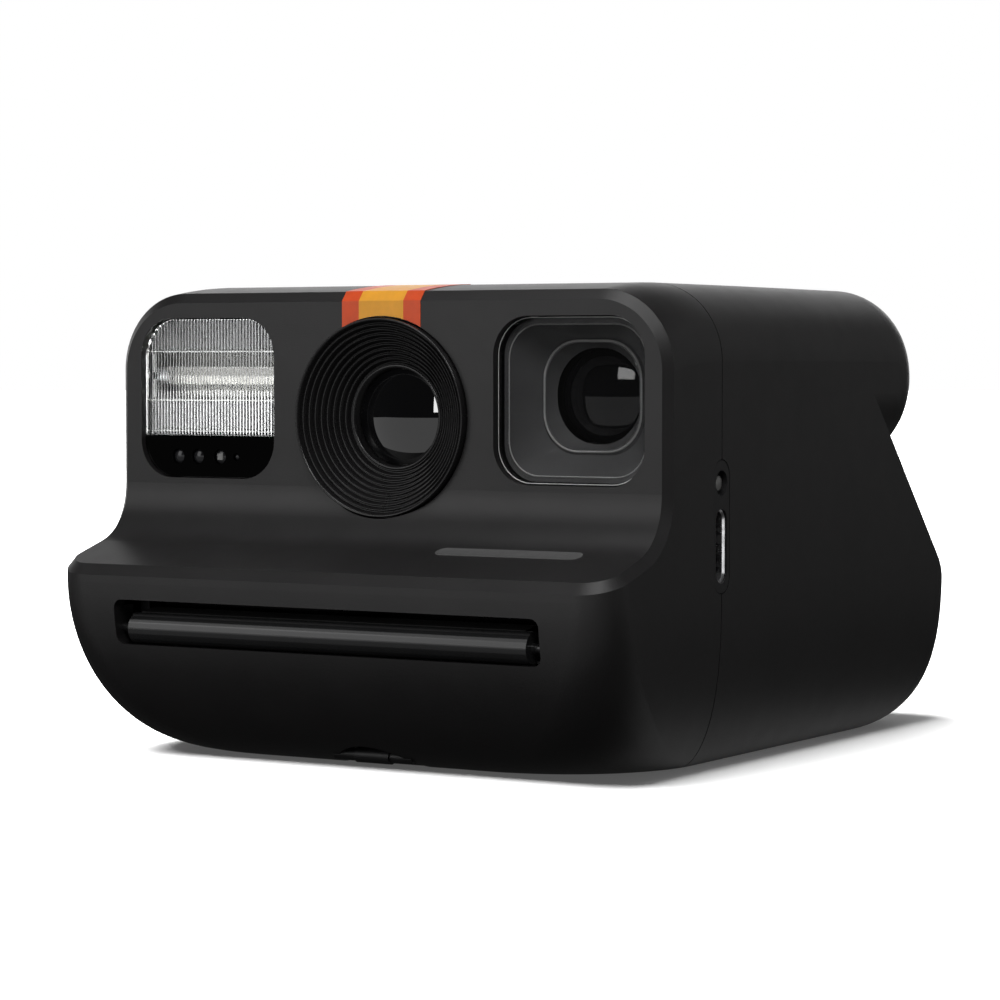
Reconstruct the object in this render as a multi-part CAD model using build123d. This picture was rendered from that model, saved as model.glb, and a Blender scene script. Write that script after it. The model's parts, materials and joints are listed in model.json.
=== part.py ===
from build123d import *
import os
from math import asin, atan2, cos, degrees, pi, radians, sin, sqrt

# Instant camera, in millimetres.
# X is the width (positive to the right seen from the front), the front faces -Y and Z is up.
# The camera stands on Z = 0.

# Outer body
HALF_W = 42.0            # half of the overall width
HALF_D = 52.5            # half of the overall depth
CREST_Z = 61.8           # highest line of the top, right above the seam
CREST_Y = -24.0
WALL = 2.0               # wall thickness of the case
FACE_Y = -37.7           # flat front face of the head
FACE_TOP = 60.6          # height of the face's upper edge
BARREL_R = 12.2          # rounded rear of the head
TOP_CORNER = 10.0        # rounding along both sides of the top
SWEEP_R = 8.0            # hollow sweep between the face and the lower block
SWEEP_Z = 35.5
SHELF_ANGLE = 17.0       # slope of the shelf in front of the sweep
SLOPE_TOP = (19.65, 49.5)
SLOPE_END = (52.5, 14.9)
EDGE = 1.1               # bevel round the face
SEAM_Y = -23.8           # where the two case halves meet
SEAM_GAP = 0.2
WAIST = 23.0             # below this height the corners of the base get rounder

# Front windows
WIN_X0, WIN_X1 = 16.8, 38.5
WIN_Z0, WIN_Z1 = 36.25, 57.5
WIN_R = 5.0
SENSOR_TOP = 41.7        # the dark sensor bar fills the flash window up to here
FIT = 0.15               # gap round fixed parts set into the case

# Lens and shutter
LENS_Z = 44.56
RING_R = 12.8
RING_FRONT = FACE_Y - 1.0
GLASS_R = 6.2
BLADE_EYE = (7.5, 53.0)  # pivot of the right blade, X and Z

# Film path
SLOT_X = 32.0
SLOT_Z0, SLOT_Z1 = 15.0, 20.9
SHIELD_Y, SHIELD_Z, SHIELD_R = -50.0, 17.1, 2.1
ROLLER_Y, ROLLER_R = -43.0, 2.97
ROLLER_Z_HIGH, ROLLER_Z_LOW = 21.2, 14.8
ROLLER_X = 28.5
SHAFT_R = 1.2

# Drive
MODULE = 0.4
TEETH_ROLLER, TEETH_IDLER, TEETH_PINION = 16, 30, 12
MOTOR_Y, MOTOR_Z = -27.3, 27.5
GEAR_X0, GEAR_X1 = 32.3, 33.9

# Film bay
BAY_X = 31.5
BAY_Y0, BAY_Y1 = -36.0, 40.0
BAY_Z0, BAY_Z1 = 5.0, 21.5

# Rear film door
DOOR_X = 30.4
DOOR_REACH = 24.0        # from the hinge line to the upper edge of the door
HINGE_Y, HINGE_Z = 48.4, 4.9
KNUCKLE_R = 2.0
PIN_R = 0.6
LATCH_Z = 31.5           # height of the latch on the rear slope
GAP = 0.3                # gap round moving parts

# Controls on the top, as X, Y
CONTROL_Y = -6.0
SHUTTER_X, SHUTTER_R = -26.0, 6.5
FLASH_X, FLASH_R = 2.0, 3.0
POWER_X, POWER_R = 26.0, 3.6
DISPLAY_X = 13.0
BOARD_TOP = 57.5

# Viewfinder
EYE_X, EYE_Z = 27.6, 49.45
EYE_R = 7.2

# Charging socket in the right side
PORT_Z0, PORT_Z1 = 22.5, 39.5
PORT_W = 4.4
USB_Z, USB_H, USB_W = 28.55, 9.4, 3.0
LIGHT_Z = 36.5

# Wrist strap bar in a vaulted scoop in the lower front edge
STRAP_X = 1.8
STRAP_Y, STRAP_Z, STRAP_R = -42.0, 1.5, 0.8
SCOOP_HALF, SCOOP_RISE = 6.8, 2.9


# ---- small helpers ---------------------------------------------------------------------------

def box(x0, x1, y0, y1, z0, z1):
    size = Box(x1 - x0, y1 - y0, z1 - z0)
    return Pos((x0 + x1) / 2, (y0 + y1) / 2, (z0 + z1) / 2) * size


def rod_x(r, x0, x1, y, z):
    return Pos((x0 + x1) / 2, y, z) * Rot(0, 90, 0) * Cylinder(r, x1 - x0)


def rod_y(r, y0, y1, x, z):
    return Pos(x, (y0 + y1) / 2, z) * Rot(90, 0, 0) * Cylinder(r, y1 - y0)


def rod_z(r, z0, z1, x, y):
    return Pos(x, y, (z0 + z1) / 2) * Cylinder(r, z1 - z0)


def plate_y(x0, x1, z0, z1, y0, y1, r):
    """Upright plate with rounded corners, facing the front."""
    outline = RectangleRounded(x1 - x0, z1 - z0, r)
    plane = Plane((((x0 + x1) / 2), y0, (z0 + z1) / 2), x_dir=(1, 0, 0), z_dir=(0, 1, 0))
    return extrude(plane * outline, y1 - y0)


def turned_y(points, x, z):
    """Body turned about a line along Y through X, Z; points are radius and Y."""
    with BuildSketch(Plane.XY) as half:
        with BuildLine():
            Polyline(*points, close=True)
        make_face()
    return Pos(x, 0, z) * revolve(half.sketch, Axis.Y)


def prism_x(points, x0, x1):
    """Flat outline given as Y, Z and stretched along X."""
    with BuildSketch(Plane.YZ.offset(x0)) as side:
        with BuildLine():
            Polyline(*points, close=True)
        make_face()
    return extrude(side.sketch, x1 - x0)


def coil(radius, wire, pitch, height):
    """Helical spring standing on the XY plane."""
    path = Helix(pitch=pitch, height=height, radius=radius)
    start = path @ 0
    section = Plane(origin=start, z_dir=path % 0) * Circle(wire)
    return sweep(section, path=path)


def group(*solids):
    """Several solids kept as one node."""
    found = []
    for item in solids:
        found.extend(item.solids())
    return Compound(found)


# ---- outer body ------------------------------------------------------------------------------

def inward(height, drop, rise, power=2.0):
    """Inward step, at a height, of a rounding that is drop wide and rise high.

    A power of 2 gives an ellipse; a higher one keeps more of the turn near the floor.
    """
    t = min(height / rise, 1.0)
    return drop * (1 - sqrt(1 - (1 - t) ** power))


def base_section(z, inset):
    """Level cut of the base: straight sides, corners that get rounder towards the floor."""
    h, rise = z - inset, WAIST - inset
    half = HALF_W - inset - inward(h, 6.6 - inset, rise, 2.6)
    front = -HALF_D + inset + inward(h, 15.0 - inset, rise)
    rear = HALF_D - inset - inward(h, 12.0 - inset, rise, 5.0)
    with BuildSketch(Plane.XY.offset(z)) as cut:
        with BuildLine():
            Polyline((-half, front), (half, front), (half, rear), (-half, rear), close=True)
        make_face()
        fillet(cut.vertices().sort_by(Axis.Y)[:2], 4.8 - inset + inward(h, 15.0, rise, 1.5))
        fillet(cut.vertices().sort_by(Axis.Y)[-2:], 8.8 - inset + inward(h, 6.5, rise))
    return cut.sketch.face()


def slope_point(height, inset):
    """Y of the rear slope at a height, for a surface set in by the inset."""
    dy, dz = SLOPE_END[0] - SLOPE_TOP[0], SLOPE_END[1] - SLOPE_TOP[1]
    length = sqrt(dy * dy + dz * dz)
    y0 = SLOPE_TOP[0] + inset * dz / length
    z0 = SLOPE_TOP[1] - inset * dy / length
    return y0 + (height - z0) * dy / dz


def base_body(inset):
    """Lower body: rounded loft cut by the shelf, the sweep and the rear slope."""
    levels = [inset + (WAIST - inset) * (1 - cos(radians(90 * k / 11))) for k in range(12)]
    low = Solid.make_loft([base_section(z, inset).outer_wire() for z in levels])
    high = extrude(base_section(WAIST, inset), 28)
    r = SWEEP_R + inset
    cy = FACE_Y - SWEEP_R
    end = radians(SHELF_ANGLE - 90)
    shelf = (cy + r * cos(end), SWEEP_Z + r * sin(end))
    out = -HALF_D - 5
    fall = (shelf[0] - out) * sin(radians(SHELF_ANGLE)) / cos(radians(SHELF_ANGLE))
    top = SLOPE_TOP[1] - inset / 2
    rear_z = SLOPE_END[1] - 6.0
    with BuildSketch(Plane.YZ) as side:
        with BuildLine():
            Line((out, shelf[1] - fall), shelf)
            ThreePointArc(shelf, (cy + r * cos(end / 2), SWEEP_Z + r * sin(end / 2)), (cy + r, SWEEP_Z))
            Polyline((cy + r, SWEEP_Z), (cy + r, top), (slope_point(top, inset), top),
                     (slope_point(rear_z, inset), rear_z),
                     (slope_point(rear_z, inset), inset - 3),
                     (out, inset - 3), (out, shelf[1] - fall))
        make_face()
    return (Part() + [low, high]) & extrude(side.sketch, 60, both=True)


def head_body(inset):
    """Upper body: crowned top running into the round barrel at the rear."""
    front = FACE_Y + inset
    crest = CREST_Z - inset
    run, rise = CREST_Y - FACE_Y, CREST_Z - FACE_TOP
    crown = (run * run + rise * rise) / (2 * rise) - inset
    turn = degrees(asin((CREST_Y - front) / crown))
    with BuildSketch(Plane.YZ) as side:
        with BuildLine():
            back = JernArc((CREST_Y, crest), (1, 0), 9500, -0.322)
            barrel = JernArc(back @ 1, back % 1, BARREL_R - inset, -179.678)
            fore = JernArc((CREST_Y, crest), (-1, 0), crown, turn)
            Polyline(barrel @ 1, (front, (barrel @ 1).Y), fore @ 1)
        make_face()
    block = extrude(side.sketch, HALF_W - inset, both=True)
    rims = [e for e in block.edges()
            if abs(abs(e.center().X) - HALF_W + inset) < 0.001
            and e.center().Z > 40 and e.center().Y > front + 0.1]
    return fillet(rims, TOP_CORNER - inset)


def whole_body(inset):
    return base_body(inset) + head_body(inset)


def leans_or_lies(edge):
    """False only for an upright straight edge."""
    start, end = edge @ 0, edge @ 1
    return abs(start.Z - end.Z) < 0.001 or abs(start.Y - end.Y) > 0.001


def bevel_edges(body):
    """Loop round the face, down both sides of the sweep and along the shelf."""
    picked = []
    for e in body.edges():
        c = e.position_at(0.5)
        on_face = abs(c.Y - FACE_Y) < 0.01 and (abs(c.X) > 30 or c.Z > 55)
        on_sweep = WAIST + 1 < c.Z < SWEEP_Z and c.Y < FACE_Y and abs(c.X) > 1
        on_shelf = abs(c.Y + HALF_D) < 0.01 and c.Z > WAIST + 1 and abs(c.X) < 1
        if on_face or (on_sweep and leans_or_lies(e)) or on_shelf:
            picked.append(e)
    return picked


# ---- case ------------------------------------------------------------------------------------

def slab(y0, y1):
    """Slice of space between two upright planes, used to split the case."""
    return box(-60, 60, y0, y1, -10, 80)


def mirrored(solid):
    return solid + mirror(solid, about=Plane.YZ)


def door_space(gap):
    """Space in the rear wall taken by the film door and its hinge barrel."""
    x = DOOR_X + gap
    swing = rod_x(DOOR_REACH + gap, -x, x, HINGE_Y, HINGE_Z) & box(-x, x, 30, 80, HINGE_Z, 60)
    return swing + rod_x(KNUCKLE_R + gap, -x, x, HINGE_Y, HINGE_Z)


def control_holes(gap):
    holes = rod_z(SHUTTER_R + gap, 55, 65, SHUTTER_X, CONTROL_Y)
    holes += rod_z(FLASH_R + gap, 55, 65, FLASH_X, CONTROL_Y)
    holes += rod_z(POWER_R + gap, 55, 65, POWER_X, CONTROL_Y)
    holes += display_pill(FIT, 55, 65)
    return holes


def display_pill(gap, z0, z1):
    outline = SlotOverall(9.0 + 2 * gap, 5.0 + 2 * gap)
    return Pos(DISPLAY_X, CONTROL_Y, z0) * extrude(outline, z1 - z0)


def window_block(side, grow, y0, y1):
    """Rounded window block; side is -1 for the flash and 1 for the viewfinder."""
    x0, x1 = sorted((side * (WIN_X0 - grow), side * (WIN_X1 + grow)))
    return plate_y(x0, x1, WIN_Z0 - grow, WIN_Z1 + grow, y0, y1, WIN_R + grow)


def port_pill(grow, x0, x1):
    """Upright pill across the seam on the right side."""
    outline = SlotOverall(PORT_Z1 - PORT_Z0 + 2 * grow, PORT_W + 2 * grow)
    plane = Plane((x0, SEAM_Y, (PORT_Z0 + PORT_Z1) / 2), x_dir=(0, 0, 1), z_dir=(1, 0, 0))
    return extrude(plane * outline, x1 - x0)


def strap_scoop(grow):
    """Vaulted scoop in the front lower edge where a wrist strap is tied."""
    r = (SCOOP_HALF ** 2 + SCOOP_RISE ** 2) / (2 * SCOOP_RISE)
    return rod_y(r + grow, -52, -37.5 + grow, STRAP_X, SCOOP_RISE - r)


def shield_bosses():
    """Ears beside the slot that hold the film shield."""
    return mirrored(box(SLOT_X, 34.0, -50.8, SHIELD_Y + 1.8, SLOT_Z0 + 0.2, SLOT_Z1 - 0.9))


def slope_plane():
    """Plane on the rear slope at the latch; its Y runs down the slope, its Z points out."""
    angle = atan2(SLOPE_TOP[1] - SLOPE_END[1], SLOPE_END[0] - SLOPE_TOP[0])
    y = slope_point(LATCH_Z, 0)
    return Plane((0, y, LATCH_Z), x_dir=(1, 0, 0), z_dir=(0, sin(angle), cos(angle)))


def slope_box(x0, x1, down0, down1, out0, out1):
    return slope_plane() * box(x0, x1, down0, down1, out0, out1)


def screw_spots():
    return [(x, y) for x in (-34.0, 34.0) for y in (-14.0, 26.0)]


def front_shell(outer, cavity, inner):
    edge = SEAM_Y - SEAM_GAP / 2
    shell = (outer - cavity) & slab(-60, edge)
    shell += (cavity - inner) & slab(edge - 2.0, SEAM_Y + 1.6)
    shell += (strap_scoop(1.2) + shield_bosses()) & outer
    shell -= strap_scoop(0)
    shell -= strap_rod()
    shell -= rod_x(0.6, -33.5, 33.5, SHIELD_Y, SHIELD_Z)
    shell -= window_block(-1, 0, -40, -33)
    shell -= window_block(1, 0, -40, -33)
    shell -= rod_y(RING_R + 0.2, -42, -33, 0, LENS_Z)
    shell -= plate_y(-SLOT_X, SLOT_X, SLOT_Z0, SLOT_Z1, -56, -45, 1.2)
    shell -= port_pill(0, 36, 45)
    return shell


def rear_shell(outer, cavity):
    shell = (outer - cavity) & slab(SEAM_Y + SEAM_GAP / 2, 60)
    shell += rod_y(EYE_R + 1.6, 36.5, 44, EYE_X, EYE_Z) & outer
    ears = mirrored(box(DOOR_X + GAP, 33.2, 45.4, 51.0, 2.0, 7.4))
    shell += ears & outer
    shell -= door_space(GAP)
    shell -= rod_x(PIN_R, -32.6, 32.6, HINGE_Y, HINGE_Z)
    shell -= rod_y(EYE_R, 30, 45, EYE_X, EYE_Z)
    rail = slope_box(7.9, 9.2, -11.0, 4.0, -4.3, -1.5) + slope_box(6.8, 9.2, -11.0, 4.0, -4.3, -3.5)
    shell += mirrored(rail) + slope_box(-8.4, 8.4, -11.0, -10.2, -4.3, -2.4)
    shell -= slope_box(-5.3, 5.3, -4.9, 2.3, -2.8, 3.0)
    shell -= control_holes(GAP)
    shell -= port_pill(0, 36, 45)
    for x, y in screw_spots():
        shell -= rod_z(0.8, -1, 4, x, y) + rod_z(1.6, -1, 1.1, x, y)
    return shell


def strap_rod():
    return rod_x(STRAP_R, STRAP_X - 5.9, STRAP_X + 5.9, STRAP_Y, STRAP_Z)


def strap_bar():
    return strap_rod() + rod_x(1.0, STRAP_X - 2.6, STRAP_X + 2.6, STRAP_Y, STRAP_Z)


def case_screws():
    screws = []
    for x, y in screw_spots():
        cross = Pos(x, y, 0.1) * (Box(2.0, 0.4, 0.8) + Box(0.4, 2.0, 0.8))
        head = rod_z(1.55, 0.1, 1.1, x, y) - cross
        screws.append(head + rod_z(0.8, 1.1, 9.0, x, y))
    return group(*screws)


# ---- film door and latch -----------------------------------------------------------------------

def film_door(outer, cavity):
    door = (outer - cavity) & door_space(0)
    door += rod_x(KNUCKLE_R, -DOOR_X, DOOR_X, HINGE_Y, HINGE_Z)
    door += slope_box(-3.2, 3.2, 6.6, 8.0, -3.4, -1.5) & door_space(0)
    door -= mirrored(rod_x(PIN_R + 0.05, 25.0, 32.0, HINGE_Y, HINGE_Z))
    return door.solids().sort_by(SortBy.VOLUME)[-1]


def hinge_pins():
    return group(rod_x(PIN_R, -32.6, -25.3, HINGE_Y, HINGE_Z), rod_x(PIN_R, 25.3, 32.6, HINGE_Y, HINGE_Z))


def door_latch():
    latch = slope_box(-7.5, 7.5, -5.5, 4.8, -3.2, -2.3) + slope_box(-3.2, 3.2, 4.8, 5.6, -3.2, -2.3)
    pad = slope_box(-5.0, 5.0, -2.0, 2.0, -2.4, 0.8)
    for down in (-1.2, 0.0, 1.2):
        pad -= slope_box(-4.2, 4.2, down - 0.25, down + 0.25, 0.45, 1.0)
    return latch + pad


def latch_spring():
    spring = coil(0.75, 0.15, 0.9, 4.0)
    return slope_plane() * Pos(0, -5.8, -3.35) * Rot(90, 0, 0) * spring


# ---- lens and shutter --------------------------------------------------------------------------

def lens_ring():
    """Ring with nine steps running down into the lens."""
    inner, points = 12.3, [(RING_R, RING_FRONT + 0.3), (RING_R - 0.3, RING_FRONT)]
    depth = RING_FRONT
    steps = 9
    for k in range(steps):
        points.append((inner, depth))
        points.append((inner, depth + 0.5))
        inner -= 0.6
        depth += 0.5
    points += [(inner, depth), (inner, -33.6), (RING_R + 1.2, -33.6), (RING_R + 1.2, -35.4), (RING_R, -35.4)]
    return turned_y(points, 0, LENS_Z)


def lens_barrel():
    points = [(6.7, -34.0), (6.9, -33.5), (8.6, -33.5), (8.6, -31.4)]
    points += [(5.0, -31.4), (5.0, -31.9), (6.25, -31.9), (6.25, -34.0)]
    return turned_y(points, 0, LENS_Z)


def dome_lens(radius, edge, bulge, y, x, z):
    """Lens with a flat rear at y plus its edge thickness, domed towards the front."""
    sphere_r = (radius * radius + bulge * bulge) / (2 * bulge)
    with BuildSketch(Plane.XY) as half:
        with BuildLine():
            Line((0, y - bulge), (0, y + edge))
            Line((0, y + edge), (radius, y + edge))
            Line((radius, y + edge), (radius, y))
            a = asin(radius / sphere_r) / 2
            middle = (sphere_r * sin(a), y - bulge + sphere_r * (1 - cos(a)))
            ThreePointArc((radius, y), middle, (0, y - bulge))
        make_face()
    return Pos(x, 0, z) * revolve(half.sketch, Axis.Y)


def shutter_plate():
    plate = plate_y(-12.0, 12.0, 33.2, 56.2, -28.6, -27.6, 2.0)
    plate -= rod_y(3.2, -30, -26, 0, LENS_Z)
    plate += rod_y(PIN_R, -31.0, -28.6, BLADE_EYE[0], BLADE_EYE[1])
    plate += rod_y(PIN_R, -31.0, -28.6, -BLADE_EYE[0], BLADE_EYE[1])
    corners = [(x, z) for x in (-10.6, 10.6) for z in (34.6, 54.8)]
    for x, z in corners:
        plate += rod_y(0.9, -31.0, -28.6, x, z)
    return plate


def shutter_cover():
    cover = plate_y(-12.0, 12.0, 33.2, 56.2, -31.4, -31.0, 2.0)
    return cover - rod_y(4.0, -33, -30, 0, LENS_Z)


def shutter_blade(side, y0):
    """Thin blade hung on its pivot; closed it covers its half of the opening and a little more."""
    x_eye, z_eye = side * BLADE_EYE[0], BLADE_EYE[1]
    x_mid, z_mid = side * 0.9, LENS_Z
    run, rise = x_eye - x_mid, z_eye - z_mid
    length = sqrt(run * run + rise * rise)
    tilt = Rot(0, degrees(atan2(run, rise)), 0)
    arm = Pos((x_eye + x_mid) / 2, y0 + 0.2, (z_eye + z_mid) / 2) * tilt * Box(2.6, 0.4, length)
    blade = arm + rod_y(4.2, y0, y0 + 0.4, x_mid, z_mid) + rod_y(1.6, y0, y0 + 0.4, x_eye, z_eye)
    return blade - rod_y(PIN_R + 0.05, y0 - 1, y0 + 1, x_eye, z_eye)


def shutter_solenoid():
    body = box(-5.0, 5.0, -30.8, -26.2, 56.3, 59.0)
    plunger = rod_x(0.7, 5.0, 6.6, -28.2, 57.6)
    return body + plunger


def chamber_horn(inset):
    """Part of the light path running back from the lens."""
    z0, z1 = 36.4 + inset, 52.6 - inset
    half0, half1 = 9.6 - inset, 18.6 - inset
    y0, y1 = -27.6, 22.0
    far0, far1 = slope_point(z0, 6.3 + inset), slope_point(z1, 6.3 + inset)
    plan = Plane.XY.offset(z0) * make_face(Polyline((-half0, y0), (half0, y0), (half1, y1), (half1, 40),
                                                    (-half1, 40), (-half1, y1), close=True))
    side = prism_x([(y0, z0), (far0, z0), (far1, z1), (y0, z1)], -30, 30)
    return extrude(plan, z1 - z0) & side


def chamber_hood(inset):
    """Part of the light path running down from the mirror to the film."""
    z0, z1 = BAY_Z1, 45.0
    half0, half1 = 25.2 - inset, 18.0 - inset
    low_y, high_y = slope_point(z0 + 1.6, 6.3 + inset), slope_point(z1, 6.3 + inset)
    front = make_face(Plane.XZ * Polyline((-half0, z0), (half0, z0), (half1, z1), (-half1, z1), close=True))
    side = prism_x([(-9.2 + inset, z0), (low_y, z0), (low_y, z0 + 1.6), (high_y, z1), (-1.5 + inset, z1)],
                   -30, 30)
    return extrude(front, 60, both=True) & side


def dark_chamber():
    shell = (chamber_horn(0) + chamber_hood(0)) - (chamber_horn(1.0) + chamber_hood(1.0))
    shell -= box(-22.5, 22.5, -8.0, 33.0, BAY_Z1 - 1, BAY_Z1 + 3)
    shell -= rod_y(6.2, -30, -25, 0, LENS_Z)
    return shell - mirror_window()


def mirror_window():
    """Opening in the chamber in front of the mirror."""
    return slope_plane() * box(-16.5, 16.5, -19.0, 6.5, -9.0, -5.0)


def fold_mirror():
    return slope_box(-19.0, 19.0, -21.0, 7.2, -6.2, -4.8)


# ---- flash and sensor windows --------------------------------------------------------------------

def flash_window():
    """Clear ribbed cover of the flash with a flange behind the wall."""
    cover = window_block(-1, -FIT, FACE_Y + 0.9, FACE_Y + 2.1) - box(-50, 0, -60, 0, 0, SENSOR_TOP + 0.1)
    flange = window_block(-1, 0.5, FACE_Y + 2.1, FACE_Y + 2.7) - box(-50, 0, -60, 0, 0, SENSOR_TOP + 0.1)
    hole = box(-37.0, -18.2, -40, -30, 43.6, 56.0)
    return cover + (flange - hole)


def sensor_window():
    """Dark glossy bar under the flash with four round sensor holes."""
    bar = window_block(-1, -FIT, FACE_Y + 0.7, FACE_Y + 2.1) & box(-50, 0, -60, 0, 0, SENSOR_TOP)
    flange = window_block(-1, 0.5, FACE_Y + 2.1, FACE_Y + 2.7) & box(-50, 0, -60, 0, 0, SENSOR_TOP)
    bar += flange
    for x, r in sensor_spots():
        bar -= rod_y(r, -40, -30, x, 39.1)
    return bar


def sensor_spots():
    return [(-32.9, 1.0), (-29.7, 1.0), (-26.1, 1.0), (-23.4, 0.5)]


def sensor_lenses():
    return group(*[rod_y(r, FACE_Y + 1.0, FACE_Y + 3.4, x, 39.1) for x, r in sensor_spots()])


def flash_reflector():
    """Bright trough behind the flash window, open to the front, with end walls."""
    x0, x1 = -37.6, -17.8
    with BuildSketch(Plane.YZ.offset(x0)) as side:
        with BuildLine():
            Line((-34.8, 46.5), (-34.8, 53.2))
            ThreePointArc((-34.8, 53.2), (-30.0, 49.85), (-34.8, 46.5))
        make_face()
    bowl = extrude(side.sketch, x1 - x0)
    block = box(x0 - 0.5, x1 + 0.5, -34.8, -29.0, 45.9, 53.8)
    return block - bowl - rod_x(1.25, x0 - 1, x1 + 1, -32.4, 49.85)


def flash_tube():
    return rod_x(1.2, -37.9, -17.5, -32.4, 49.85)


# ---- viewfinder ------------------------------------------------------------------------------------

def viewfinder_window():
    cover = window_block(1, -FIT, FACE_Y + 0.9, FACE_Y + 2.1)
    flange = window_block(1, 0.5, FACE_Y + 2.1, FACE_Y + 2.7) - box(17.9, 37.4, -40, -30, 37.5, 56.4)
    return cover + flange


def rectangle_loft(y0, frame0, y1, frame1):
    """Straight-sided solid between two upright rectangles given as x0, x1, z0, z1."""
    faces = []
    for y, (x0, x1, z0, z1) in ((y0, frame0), (y1, frame1)):
        faces.append(Wire.make_polygon([(x0, y, z0), (x1, y, z0), (x1, y, z1), (x0, y, z1)], close=True))
    return Solid.make_loft(faces, ruled=True)


def viewfinder_tunnel():
    outer = rectangle_loft(-34.9, (18.6, 36.9, 39.6, 56.6), 35.5, (20.8, 34.4, 43.4, 55.6))
    inner = rectangle_loft(-34.9, (19.4, 36.1, 40.4, 55.8), 35.5, (21.6, 33.6, 44.2, 54.8))
    holder = outer & box(10, 50, -29.5, -27.4, 30, 60)
    return (outer - inner) + (holder - rod_y(6.0, -31, -26, 27.65, 47.4))


def viewfinder_funnel():
    """Grey frame that steps down from the window to the front lens."""
    start = Plane((27.75, -34.8, 48.1), x_dir=(1, 0, 0), z_dir=(0, 1, 0))
    end = Plane((27.65, -29.6, 47.4), x_dir=(1, 0, 0), z_dir=(0, 1, 0))
    outer = loft([start * RectangleRounded(16.4, 15.0, 4.5), end * RectangleRounded(14.6, 13.0, 6.4)])
    inner = loft([start * RectangleRounded(15.2, 13.8, 4.0), end * RectangleRounded(13.4, 12.0, 5.9)])
    return outer - inner


def viewfinder_lens():
    return dome_lens(6.0, 1.5, 2.6, -28.2, 27.65, 47.4)


def eyepiece_lens():
    return dome_lens(5.6, 1.2, 1.0, 37.6, EYE_X, EYE_Z)


def eyepiece_ring():
    """Round eyepiece frame set into the rear barrel, with a step for the lens."""
    points = [(EYE_R, 36.4), (EYE_R, 41.2), (EYE_R - 0.4, 41.6), (EYE_R - 1.0, 41.6)]
    points += [(5.2, 38.9), (5.6, 38.9), (5.6, 36.4)]
    return turned_y(points, EYE_X, EYE_Z)


# ---- controls --------------------------------------------------------------------------------------

def top_z(y):
    """Height of the crowned top behind its crest."""
    return CREST_Z - (y - CREST_Y) ** 2 / (2 * 9500)


def push_button(r, x, dish, step):
    """Button with a flange under the case and a shallow dish on top."""
    top = top_z(CONTROL_Y) - 0.1
    cap = rod_z(r, 58.9, top, x, CONTROL_Y) + rod_z(r + 0.9, 58.9, 59.5, x, CONTROL_Y)
    ball = (r * r * 0.8 + dish * dish) / (2 * dish)
    cap -= Pos(x, CONTROL_Y, top - dish + ball) * Sphere(ball)
    if step:
        groove = rod_z(r - 0.9, top - 0.25, top + 1, x, CONTROL_Y)
        cap -= groove - rod_z(r - 1.3, top - 1, top + 1, x, CONTROL_Y)
    return cap


def control_board():
    board = box(-37.0, 36.0, -15.5, 3.5, BOARD_TOP - 0.7, BOARD_TOP)
    for x in (SHUTTER_X, FLASH_X, POWER_X):
        board += rod_z(1.1, BOARD_TOP, BOARD_TOP + 0.5, x, CONTROL_Y)
    return board


def button_spring(radius, x):
    return Pos(x, CONTROL_Y, BOARD_TOP + 0.17) * coil(radius, 0.13, 0.5, 1.0)


def display_window():
    pane = display_pill(0, 59.2, top_z(CONTROL_Y) - 0.1)
    return pane + display_pill(0.8, 58.9, 59.5)


# ---- charging socket and light ---------------------------------------------------------------------

def port_insert():
    insert = port_pill(-0.1, HALF_W - 4.2, HALF_W - 0.05)
    insert -= rod_x(1.6, HALF_W - 0.8, HALF_W + 1, SEAM_Y, LIGHT_Z)
    insert -= rod_x(1.1, HALF_W - 5, HALF_W + 1, SEAM_Y, LIGHT_Z)
    return insert - usb_outline(0, HALF_W - 5, HALF_W + 1)


def usb_outline(grow, x0, x1):
    plane = Plane((x0, SEAM_Y, USB_Z), x_dir=(0, 0, 1), z_dir=(1, 0, 0))
    return extrude(plane * SlotOverall(USB_H + 2 * grow, USB_W + 2 * grow), x1 - x0)


def usb_socket():
    shell = usb_outline(0, HALF_W - 7.7, HALF_W - 0.35)
    shell -= usb_outline(-0.3, HALF_W - 7.3, HALF_W + 1)
    return shell


def usb_tongue():
    return box(HALF_W - 7.3, HALF_W - 1.6, SEAM_Y - 0.35, SEAM_Y + 0.35, USB_Z - 3.35, USB_Z + 3.35)


def light_pipe():
    return rod_x(1.1, HALF_W - 6.0, HALF_W - 0.5, SEAM_Y, LIGHT_Z)


def charge_board():
    return box(32.8, 34.2, SEAM_Y - 0.3, 6.0, 23.4, 38.4)


# ---- film path ---------------------------------------------------------------------------------------

def film_shield_roll():
    """Rolled light shield: a tube seen end-on, wound round its core."""
    return rod_x(SHIELD_R, -30.0, 30.0, SHIELD_Y, SHIELD_Z) - rod_x(0.75, -31, 31, SHIELD_Y, SHIELD_Z)


def film_shield_core():
    core = rod_x(0.75, -30.4, 30.4, SHIELD_Y, SHIELD_Z)
    return core + rod_x(0.6, -33.4, 33.4, SHIELD_Y, SHIELD_Z)


def roller(z, x_end):
    body = rod_x(ROLLER_R, -ROLLER_X, ROLLER_X, ROLLER_Y, z)
    for x in (-20.0, 0.0, 20.0):
        ring = rod_x(ROLLER_R + 1, x - 0.4, x + 0.4, ROLLER_Y, z)
        ring -= rod_x(ROLLER_R - 0.2, x - 1, x + 1, ROLLER_Y, z)
        body -= ring
    return body + rod_x(SHAFT_R, -32.2, x_end, ROLLER_Y, z)


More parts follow.
